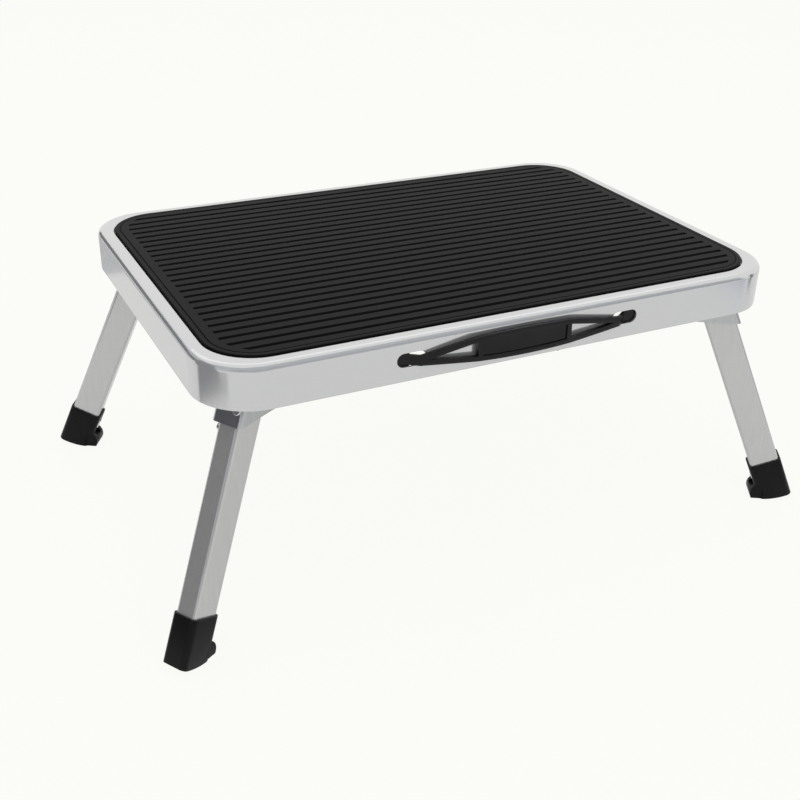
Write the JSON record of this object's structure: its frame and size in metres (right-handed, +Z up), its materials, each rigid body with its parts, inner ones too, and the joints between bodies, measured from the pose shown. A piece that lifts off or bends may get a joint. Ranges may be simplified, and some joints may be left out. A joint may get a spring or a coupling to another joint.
{
  "type": "folding entry step",
  "caption": "Low folding step with a ribbed rubber mat in a pressed silver pan, splayed tube legs with rubber boots that fold in under it, and a black carry handle.",
  "frame": {"origin": "on the ground, under the middle of the deck", "axes": "+X along the deck's long side to the right, +Y away from the carry handle, +Z up"},
  "size_m": [0.4526, 0.2984, 0.174],
  "materials": {
    "silver_paint": "satin",
    "mat_rubber": "matte",
    "black_plastic": "satin",
    "zinc_steel": "satin",
    "bright_steel": "polished",
    "spring_steel": "satin",
    "white_plastic": "matte",
    "leg_steel": "satin",
    "boot_rubber": "matte"
  },
  "bodies": {
    "deck": {"deck_pan": "silver_paint", "tread_mat": "mat_rubber", "carry_handle": "black_plastic", "front_left_bracket": "zinc_steel", "front_left_pivot_pin": "bright_steel", "front_left_washers": "white_plastic", "front_left_leaf_spring": "spring_steel", "front_left_spring_rivets": "bright_steel", "front_right_bracket": "zinc_steel", "front_right_pivot_pin": "bright_steel", "front_right_washers": "white_plastic", "front_right_leaf_spring": "spring_steel", "front_right_spring_rivets": "bright_steel", "rear_left_bracket": "zinc_steel", "rear_left_pivot_pin": "bright_steel", "rear_left_washers": "white_plastic", "rear_left_leaf_spring": "spring_steel", "rear_left_spring_rivets": "bright_steel", "rear_right_bracket": "zinc_steel", "rear_right_pivot_pin": "bright_steel", "rear_right_washers": "white_plastic", "rear_right_leaf_spring": "spring_steel", "rear_right_spring_rivets": "bright_steel"},
    "front_left_leg": {"front_left_leg_tube": "leg_steel", "front_left_leg_rivet": "bright_steel", "front_left_boot": "boot_rubber", "front_left_boot_screw": "bright_steel"},
    "front_right_leg": {"front_right_leg_tube": "leg_steel", "front_right_leg_rivet": "bright_steel", "front_right_boot": "boot_rubber", "front_right_boot_screw": "bright_steel"},
    "rear_left_leg": {"rear_left_leg_tube": "leg_steel", "rear_left_leg_rivet": "bright_steel", "rear_left_boot": "boot_rubber", "rear_left_boot_screw": "bright_steel"},
    "rear_right_leg": {"rear_right_leg_tube": "leg_steel", "rear_right_leg_rivet": "bright_steel", "rear_right_boot": "boot_rubber", "rear_right_boot_screw": "bright_steel"}
  },
  "joints": [
    {"name": "front_left_fold", "type": "hinge", "parent": "deck", "child": "front_left_leg", "pos_m": [-0.1594, -0.1048, 0.148], "axis": [0.515, -0.8572, 0], "range_deg": [0, 113]},
    {"name": "front_right_fold", "type": "hinge", "parent": "deck", "child": "front_right_leg", "pos_m": [0.1594, -0.1048, 0.148], "axis": [0.515, 0.8572, 0], "range_deg": [0, 113]},
    {"name": "rear_left_fold", "type": "hinge", "parent": "deck", "child": "rear_left_leg", "pos_m": [-0.1594, 0.1048, 0.148], "axis": [-0.515, -0.8572, 0], "range_deg": [0, 113]},
    {"name": "rear_right_fold", "type": "hinge", "parent": "deck", "child": "rear_right_leg", "pos_m": [0.1594, 0.1048, 0.148], "axis": [-0.515, 0.8572, 0], "range_deg": [0, 113]}
  ]
}
